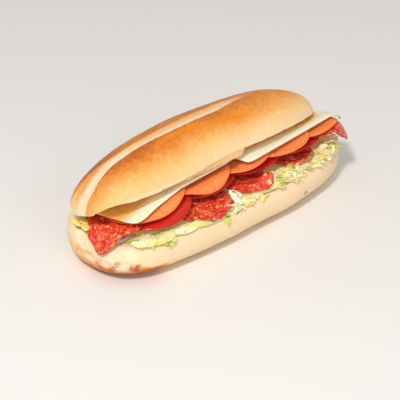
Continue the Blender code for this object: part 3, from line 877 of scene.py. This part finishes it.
def salami_material():
    """Coarse red meat with flecks of white and orange fat, moist on the cut face."""
    made, tree, shader, where = start_material("salami_cut", 0.36)
    stirred = add_node(tree, "ShaderNodeTexNoise", {"Vector": where, "Scale": 420.0, "Detail": 2.0})
    drift = add_node(tree, "ShaderNodeVectorMath",
                     {0: stirred.outputs["Color"], 1: (0.0022, 0.0022, 0.0022)}, operation="MULTIPLY")
    moved = add_node(tree, "ShaderNodeVectorMath", {0: where, 1: drift.outputs[0]}, operation="ADD")
    lump_distance, lump_numbers = add_cells(tree, moved.outputs[0], 520.0)
    meat = add_ramp(tree, lump_numbers[0],
                    (0.0, colour(196, 34, 26)), (0.45, colour(226, 62, 42)), (0.8, colour(240, 92, 56)),
                    (1.0, colour(246, 122, 74)))
    fat_distance, fat_numbers = add_cells(tree, moved.outputs[0], 330.0)
    is_fat = add_math(tree, "GREATER_THAN", fat_numbers[1], 0.80)
    fat = add_math(tree, "MULTIPLY", is_fat, add_fade(tree, fat_distance, 0.52, 0.34))
    fat_shade = add_mix(tree, fat_numbers[2], colour(250, 150, 76), colour(252, 208, 160))
    _, grit = add_cells(tree, where, 900.0)
    dots = add_math(tree, "MULTIPLY", add_math(tree, "GREATER_THAN", grit[0], 0.90), 0.55)
    shade = add_mix(tree, dots, meat, colour(250, 186, 140))
    shade = add_mix(tree, fat, shade, fat_shade)
    casing = add_fade(tree, add_channels(tree, "cut")[0], 0.972, 0.99)
    shade = add_mix(tree, add_math(tree, "MULTIPLY", casing, 0.7), shade, colour(176, 44, 28))
    tree.links.new(shade, shader.inputs["Base Color"])
    relief = add_math(tree, "ADD", lump_distance, add_math(tree, "MULTIPLY", fat, 0.4))
    add_bump(tree, shader, relief, 0.35)
    return made


def round_outline(centre_x, centre_y, radius_x, radius_y, corner=None, ragged=0.0, seed=0.0, stretch=0.15):
    """An oval, which may be drawn out to a corner at the angle given, with a ragged rim."""
    def outline(share, around):
        reach = share
        if corner is not None:
            off = (around - corner + pi) % (2.0 * pi) - pi
            reach *= 1.0 + stretch * exp(-(off / 0.45) ** 2)
        if ragged:
            for waves, share_of_it in ((3.0, 1.0), (9.0, 0.5)):
                at = Vector((waves * cos(around), waves * sin(around), seed))
                reach *= 1.0 + share_of_it * ragged * noise.noise(at)
        offset = radius_x * reach * cos(around)
        return centre_x + offset, centre_y + radius_y * reach * sin(around), offset
    return outline


def surface_ripple(x, y):
    return 0.10 * MM * wave(x, y, 0.0, 2.2)


def curl_up(lift_x, lift_width, amount, ripple, size, fold=0.0):
    """Lifts the free front edge of a slice about lift_x, folds its rim down again, and ripples it."""
    def bump(x, y, side):
        free = ramp(-y, 28.5, 6.0)
        folded = 1.0 - fold * ramp(-y, 34.0, 4.5)
        rise = amount * exp(-((x - lift_x) / lift_width) ** 2) * free * folded
        rise += ripple * free * (0.5 + 0.5 * sin(x / size + 2.0 * wave(x, y, 4.0, 12.0)))
        return rise + surface_ripple(x, y)
    return bump


salami_meat = salami_material()
on_bed = (
    (round_outline(-31.5 * MM, -16.0 * MM, 21.0 * MM, 25.5 * MM, radians(-42.0), 0.03, 2.0),
     curl_up(-17.0 * MM, 9.0 * MM, 3.6 * MM, 1.0 * MM, 1.9 * MM, 0.6)),
    (round_outline(7.0 * MM, -15.0 * MM, 15.5 * MM, 24.5 * MM, radians(-60.0), 0.03, 3.0, 0.10),
     curl_up(15.0 * MM, 10.0 * MM, 5.4 * MM, 0.9 * MM, 1.7 * MM, 1.2)),
    (round_outline(50.0 * MM, -12.0 * MM, 17.0 * MM, 22.0 * MM, None, 0.03, 4.0),
     curl_up(58.0 * MM, 9.0 * MM, 6.0 * MM, 0.9 * MM, 2.0 * MM)),
)
for number, (outline, bump) in enumerate(on_bed, start=2):
    salami = new_mesh_object(f"salami_slice_{number}",
                             laid_slice(outline, SALAMI_LEVEL, SALAMI_THICKNESS, bump=bump), salami_meat)
    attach(salami, "root")
    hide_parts(f"salami_{number}")

# ------------------------ tomato
# Ripe tomato slices about 50 mm across and 3 mm thick, shingled along the roll, each lying on the one
# to its right.  Wet flesh inside a thin shiny skin.


def tomato_material():
    made, tree, shader, where = start_material("tomato_cut", 0.22)
    share = add_channels(tree, "cut")[0]
    streaks = add_grain(tree, where, 2.0, 3.0, 1.5)
    flesh = add_mix(tree, streaks, colour(194, 32, 20), colour(220, 62, 38))
    flesh = add_mix(tree, add_fade(tree, share, 0.70, 0.86), flesh, colour(206, 38, 24))
    shade = add_mix(tree, add_fade(tree, share, 0.955, 0.975), flesh, colour(194, 30, 18))
    tree.links.new(shade, shader.inputs["Base Color"])
    add_bump(tree, shader, streaks, 0.12)
    return made


tomato_flesh = tomato_material()
tomatoes = ((-55.5, -7.0, 27.0), (-17.0, -3.5, 25.0), (22.0, -3.0, 25.0), (58.0, -2.5, 25.0))
for number, (x, y, radius) in enumerate(tomatoes, start=1):
    outline = round_outline(x * MM, y * MM, min(radius * MM, TOMATO_RADIUS), radius * MM,
                            None, 0.006, number)
    tomato_shape = laid_slice(outline, TOMATO_LEVEL, TOMATO_THICKNESS, TOMATO_SLOPE)
    tomato = new_mesh_object(f"tomato_slice_{number}", tomato_shape, tomato_flesh)
    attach(tomato, "root")
    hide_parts(f"tomato_{number}")

# ------------------------ salami at the two ends
# One slice lies on the first tomato and droops over the left front corner of the roll.  The other lies
# on the last tomato, under the last sausage slice, and its free rim springs up past the right-hand end.

LEFT_SALAMI_LEVEL = TOMATO_LEVEL + 1.1 * MM
LEFT_SALAMI_SLOPE = 0.09
LEFT_DROOP = 13.0 * MM
RIGHT_LIFT = 3.0 * MM
RIGHT_SALAMI_LEVEL = SAUSAGE_LEVEL - 0.5 * (SAUSAGE_THICKNESS + SALAMI_THICKNESS) - 1.2 * GAP
LAST_SAUSAGE = (72.0, -5.0, 24.5)


def left_droop(x, y, side):
    return -LEFT_DROOP * ramp(-x, 87.0, 12.0) + surface_ripple(x, y)


def right_lift(x, y, side):
    middle_x, middle_y, radius = LAST_SAUSAGE
    past_sausage = hypot(x - middle_x * MM, y - middle_y * MM) - radius * MM
    return RIGHT_LIFT * ramp(past_sausage, 0.5, 6.0) + surface_ripple(x, y)


left_outline = round_outline(-78.0 * MM, -8.0 * MM, 18.0 * MM, 17.0 * MM, radians(-147.0), 0.02, 1.0, 0.32)
right_outline = round_outline(78.5 * MM, -7.0 * MM, 19.0 * MM, 27.0 * MM, radians(-48.0), 0.02, 5.0, 0.06)
for number, outline, level, slope, bump in (
        (1, left_outline, LEFT_SALAMI_LEVEL, LEFT_SALAMI_SLOPE, left_droop),
        (5, right_outline, RIGHT_SALAMI_LEVEL, SAUSAGE_SLOPE, right_lift)):
    salami = new_mesh_object(f"salami_slice_{number}",
                             laid_slice(outline, level, SALAMI_THICKNESS, slope, bump), salami_meat)
    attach(salami, "root")
    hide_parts(f"salami_{number}")

# ------------------------ sausage slices
# Slices of a fine smooth orange sausage, 51 mm across, fanned along the roll over the tomato.  Their
# cut faces show a pale rim and a few pale flecks, and they bend down a little at the front.


def sausage_material():
    made, tree, shader, where = start_material("sausage_cut", 0.38)
    fine = add_grain(tree, where, 1.1, 3.0, 1.3)
    broad = add_grain(tree, where, 9.0, 2.0, 1.0)
    shade = add_mix(tree, add_fade(tree, fine, 0.38, 0.64), colour(241, 122, 58), colour(253, 162, 95))
    shade = add_mix(tree, add_math(tree, "MULTIPLY", broad, 0.5), shade, colour(247, 142, 76))
    distance, numbers = add_cells(tree, where, 380.0)
    chosen = add_math(tree, "GREATER_THAN", numbers[0], 0.84)
    fleck = add_math(tree, "MULTIPLY", chosen, add_fade(tree, distance, 0.32, 0.22))
    shade = add_mix(tree, add_math(tree, "MULTIPLY", fleck, 0.8), shade, colour(255, 208, 160))
    rim = add_fade(tree, add_channels(tree, "cut")[0], 0.955, 0.975)
    shade = add_mix(tree, rim, shade, colour(250, 128, 62))
    set_inputs(tree, shader, {"Base Color": shade, "Subsurface Weight": 0.2, "Subsurface Scale": 1.0,
                              "Subsurface Radius": (1.6 * MM, 0.5 * MM, 0.2 * MM)})
    add_bump(tree, shader, fine, 0.07)
    return made


sausage_meat = sausage_material()


def sausage_bump(x, y, side):
    return 0.25 * MM * wave(x, y, 0.0, 14.0)


sausages = ((-58.5, -5.5, 25.5), (-24.5, -6.5, 25.5), (9.5, -5.5, 25.5), (40.8, -8.0, 25.5),
            LAST_SAUSAGE)
for number, (x, y, radius) in enumerate(sausages, start=1):
    outline = round_outline(x * MM, y * MM, radius * MM, radius * MM, None, 0.004, number)
    sausage_shape = laid_slice(outline, SAUSAGE_LEVEL, SAUSAGE_THICKNESS, SAUSAGE_SLOPE, sausage_bump)
    sausage = new_mesh_object(f"sausage_slice_{number}", sausage_shape, sausage_meat)
    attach(sausage, "root")
    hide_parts(f"sausage_{number}")

# ------------------------ cheese
# Two half slices of soft white cheese laid end to end under the crown.  They follow what they lie on,
# and the right-hand one stands out past the crown.


def cheese_material():
    made, tree, shader, where = start_material("cheese_cut", 0.34)
    broad = add_grain(tree, where, 16.0, 3.0, 1.2)
    fine = add_grain(tree, where, 1.4, 2.0, 1.0)
    shade = add_mix(tree, broad, colour(252, 245, 226), colour(250, 239, 211))
    shade = add_mix(tree, add_math(tree, "MULTIPLY", fine, 0.25), shade, colour(248, 232, 194))
    # painted shade: golden-brown where the crown's lip overhangs and shades the cheese, standing for that
    # shadow warmed by light thrown back from the crumb
    sides = add_node(tree, "ShaderNodeSeparateXYZ", {"Vector": where}).outputs
    painted_lip_shade = add_fade(tree, sides["Y"], -0.0215, -0.0165)
    covered = add_fade(tree, sides["X"], 0.084, 0.070)
    shade = add_mix(tree, add_math(tree, "MULTIPLY", painted_lip_shade, covered), shade, colour(240, 178, 88))
    set_inputs(tree, shader, {"Base Color": shade, "Subsurface Weight": 0.25, "Subsurface Scale": 1.0,
                              "Subsurface Radius": (2.0 * MM, 1.6 * MM, 1.0 * MM)})
    add_bump(tree, shader, fine, 0.05)
    return made


def square_outline(centre_x, centre_y, half_x, half_y, turn, skew):
    """A rectangle with slightly rounded corners, turned, and leaning by skew."""
    def outline(share, around):
        along = half_x * share * signed_power(cos(around), 0.14)
        across = half_y * share * signed_power(sin(around), 0.14)
        along += skew * across
        x = centre_x + along * cos(turn) - across * sin(turn)
        return x, centre_y + along * sin(turn) + across * cos(turn), x - centre_x
    return outline


white_cheese = cheese_material()
cheeses = ((-48.0, -1.0, 40.5, 0.10, -0.26), (48.6, -2.0, 47.6, 0.10, 0.05))
for number, (x, y, half_length, turn, skew) in enumerate(cheeses, start=1):
    outline = square_outline(x * MM, y * MM, half_length * MM, CHEESE_HALF_WIDTH, turn, skew)
    cheese_shape = laid_slice(outline, CHEESE_LEVEL, CHEESE_THICKNESS, columns=160, rings=60, edge=60)
    cheese = new_mesh_object(f"cheese_slice_{number}", cheese_shape, white_cheese)
    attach(cheese, "root")
    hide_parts(f"cheese_{number}")

# ------------------------ mustard
# A little yellow mustard squeezed out at the left tip of the mouth and smeared along the front lip,
# and one brown oil spot that ran down the roll.


def sauce_material(name, shade, darker):
    made, tree, shader, where = start_material(name, 0.22)
    mixed = add_mix(tree, add_grain(tree, where, 2.0, 2.0, 1.4), shade, darker)
    tree.links.new(mixed, shader.inputs["Base Color"])
    add_bump(tree, shader, add_grain(tree, where, 1.2, 2.0, 1.0), 0.12)
    return made


def drops(name, finish, places):
    """Flattened, uneven drops: (x, y, z, half length, half depth, half height, turn) in millimetres."""
    shape = bmesh.new()
    for x, y, z, long, deep, high, turn in places:
        ball = bmesh.ops.create_uvsphere(shape, u_segments=28, v_segments=16, radius=1.0)
        for vert in ball["verts"]:
            lumps = noise.noise(Vector((vert.co.x + x, vert.co.y + y, vert.co.z)) / 1.8)
            ragged = 1.0 + 0.30 * lumps
            along, across = long * ragged * vert.co.x, deep * ragged * vert.co.y
            vert.co = Vector((x + along * cos(turn) - across * sin(turn),
                              y + along * sin(turn) + across * cos(turn),
                              z + high * ragged * vert.co.z)) * MM
    sauce = new_mesh_object(name, shape, finish)
    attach(sauce, "root")
    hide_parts("roll")


drops("mustard", sauce_material("mustard", colour(253, 234, 140), colour(250, 218, 100)),
      ((-94.6, 8.0, 26.0, 4.6, 2.0, 1.1, 1.4), (-93.6, 1.0, 25.4, 3.8, 2.4, 1.0, 1.2),
       (-91.0, -3.4, 24.4, 3.2, 1.8, 0.8, 0.9), (-90.8, 6.0, 26.4, 4.6, 2.2, 0.9, 1.3),
       (-6.0, -40.4, 22.9, 3.6, 0.6, 0.5, 0.05), (7.5, -40.2, 23.2, 3.0, 0.6, 0.6, 0.10)))
drops("oil_spot", sauce_material("oil_spot", colour(214, 158, 70), colour(196, 128, 40)),
      ((42.0, side_y(42.0 * MM, 11.5 * MM) / MM + 0.15, 11.5, 1.8, 0.35, 1.3, 0.05),))

# ------------------------ floor, light and camera
# A plain pale table, a small key lamp high on the left and a broad soft fill in front.

floor_shape = bmesh.new()
bmesh.ops.create_grid(floor_shape, x_segments=1, y_segments=1, size=3.0)
floor_finish, _, floor_shader, _ = start_material("table", 0.6)
floor_shader.inputs["Base Color"].default_value = (0.88, 0.87, 0.85, 1.0)
table = new_mesh_object("table", floor_shape, floor_finish)

world = bpy.data.worlds.new("studio")
bpy.context.scene.world = world
world.use_nodes = True
sky = world.node_tree.nodes["Background"]
set_inputs(world.node_tree, sky, {"Color": (1.0, 0.99, 0.97, 1.0), "Strength": 0.5})


def add_lamp(name, place, power, size, tint=(1.0, 1.0, 1.0)):
    """A square soft lamp aimed at the sandwich."""
    lamp = bpy.data.lights.new(name, "AREA")
    lamp.energy = power
    lamp.size = size
    lamp.color = tint
    made = bpy.data.objects.new(name, lamp)
    made.location = place
    made.rotation_euler = (Vector((0.0, 0.0, 0.03)) - Vector(place)).to_track_quat("-Z", "Y").to_euler()
    bpy.context.scene.collection.objects.link(made)


add_lamp("key", (-0.72, -0.42, 1.05), 9.5, 0.16, (1.0, 0.97, 0.93))
add_lamp("front_fill", (-0.3, -1.35, 0.6), 4.0, 0.9)

camera_data = bpy.data.cameras.new("camera")
camera_data.sensor_width = 36.0
camera_data.lens = 110.51
camera_data.clip_start = 0.01
camera = bpy.data.objects.new("camera", camera_data)
camera.location = (-0.4403, -0.4680, 0.3874)
camera.rotation_euler = (radians(59.2847), 0.0, radians(-42.7455))
bpy.context.scene.collection.objects.link(camera)
bpy.context.scene.camera = camera
bpy.context.scene.view_settings.view_transform = "Standard"
